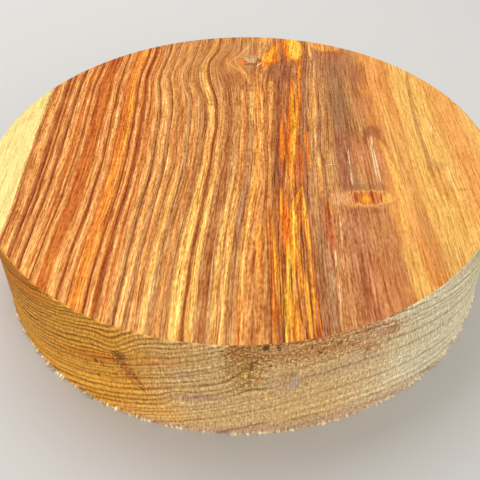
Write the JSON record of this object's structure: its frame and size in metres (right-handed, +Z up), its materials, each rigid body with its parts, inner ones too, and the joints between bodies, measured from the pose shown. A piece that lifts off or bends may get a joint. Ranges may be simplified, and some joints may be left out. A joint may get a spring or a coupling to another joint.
{
  "type": "canarywood bowl blank",
  "caption": "Round, flat-sided wood-turning blank of streaked orange and brown hardwood with a planed top face and a band-sawn wall, ready to mount and turn into a bowl.",
  "frame": {"origin": "centre of the underside, on the surface the blank rests on", "axes": "+Z up, square to the planed top face; +Y along the grain, away from the picture's camera; +X to the picture's right"},
  "size_m": [0.2174, 0.2192, 0.05],
  "materials": {
    "canarywood": "bare wood, planed on top and band-sawn round the wall, dry and matt"
  },
  "bodies": {
    "root": {"bowl_blank": "canarywood"}
  },
  "joints": []
}
